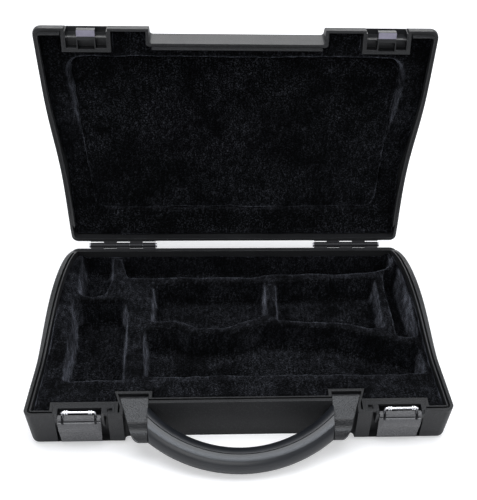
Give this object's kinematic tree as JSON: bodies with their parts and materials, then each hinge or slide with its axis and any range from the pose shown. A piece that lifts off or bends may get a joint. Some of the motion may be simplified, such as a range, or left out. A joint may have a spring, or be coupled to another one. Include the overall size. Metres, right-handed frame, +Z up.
{
  "type": "clarinet case",
  "caption": "Hard clarinet case with fitted wells, hinged padded lid, wire draw latches and a swinging front handle.",
  "frame": {"origin": "middle of the flat underside of the base", "axes": "+X along the case to the right, -Y to the handle, +Y to the hinges, +Z up"},
  "size_m": [0.3728, 0.3312, 0.2674],
  "materials": {
    "shell_plastic": "fine moulded grain",
    "lining_plush": "short nap plush",
    "panel_plush": "short nap plush",
    "handle_plastic": "satin",
    "latch_plastic": "satin",
    "leaf_steel": "black enamel",
    "pin_steel": "plain",
    "wire_chrome": "bright",
    "strike_steel": "plated"
  },
  "bodies": {
    "base": {"base_shell": "shell_plastic", "base_lining": "lining_plush", "handle_left_pin": "pin_steel", "hinge_left_base_leaf": "leaf_steel", "hinge_left_pin": "pin_steel", "hinge_left_base_rivets": "leaf_steel", "latch_left_housing": "latch_plastic", "latch_left_lever_pins": "pin_steel", "handle_right_pin": "pin_steel", "hinge_right_base_leaf": "leaf_steel", "hinge_right_pin": "pin_steel", "hinge_right_base_rivets": "leaf_steel", "latch_right_housing": "latch_plastic", "latch_right_lever_pins": "pin_steel"},
    "lid": {"lid_shell": "shell_plastic", "lid_lining": "lining_plush", "lid_panel": "panel_plush", "hinge_left_lid_leaf": "leaf_steel", "hinge_left_lid_rivets": "leaf_steel", "latch_left_keeper": "latch_plastic", "latch_left_strike": "strike_steel", "hinge_right_lid_leaf": "leaf_steel", "hinge_right_lid_rivets": "leaf_steel", "latch_right_keeper": "latch_plastic", "latch_right_strike": "strike_steel"},
    "handle": {"handle_grip_inner": "handle_plastic", "handle_grip_outer": "handle_plastic", "handle_left_arm": "handle_plastic", "handle_right_arm": "handle_plastic"},
    "left_lever": {"latch_left_lever": "latch_plastic"},
    "left_bail": {"latch_left_bail": "wire_chrome"},
    "right_lever": {"latch_right_lever": "latch_plastic"},
    "right_bail": {"latch_right_bail": "wire_chrome"}
  },
  "joints": [
    {"name": "lid_hinge", "type": "hinge", "parent": "base", "child": "lid", "pos_m": [0, 0.11687, 0.04], "axis": [1, 0, 0], "range_deg": [0, 97.5]},
    {"name": "handle_swing", "type": "hinge", "parent": "base", "child": "handle", "pos_m": [0, -0.0938, 0.0356], "axis": [1, 0, 0], "range_deg": [-26.5, 0]},
    {"name": "left_lever_swing", "type": "hinge", "parent": "base", "child": "left_lever", "pos_m": [-0.138, -0.1106, 0.0362], "axis": [1, 0, 0], "range_deg": [-75, 0]},
    {"name": "left_bail_swing", "type": "hinge", "parent": "left_lever", "child": "left_bail", "pos_m": [-0.138, -0.109, 0.034], "axis": [1, 0, 0], "range_deg": [0, 79.5]},
    {"name": "right_lever_swing", "type": "hinge", "parent": "base", "child": "right_lever", "pos_m": [0.138, -0.1106, 0.0362], "axis": [1, 0, 0], "range_deg": [-75, 0]},
    {"name": "right_bail_swing", "type": "hinge", "parent": "right_lever", "child": "right_bail", "pos_m": [0.138, -0.109, 0.034], "axis": [1, 0, 0], "range_deg": [0, 79.5]}
  ],
  "couplings": [
    {"joint": "left_bail_swing", "follows": "left_lever_swing", "ratio": -1.06},
    {"joint": "right_bail_swing", "follows": "right_lever_swing", "ratio": -1.06}
  ]
}
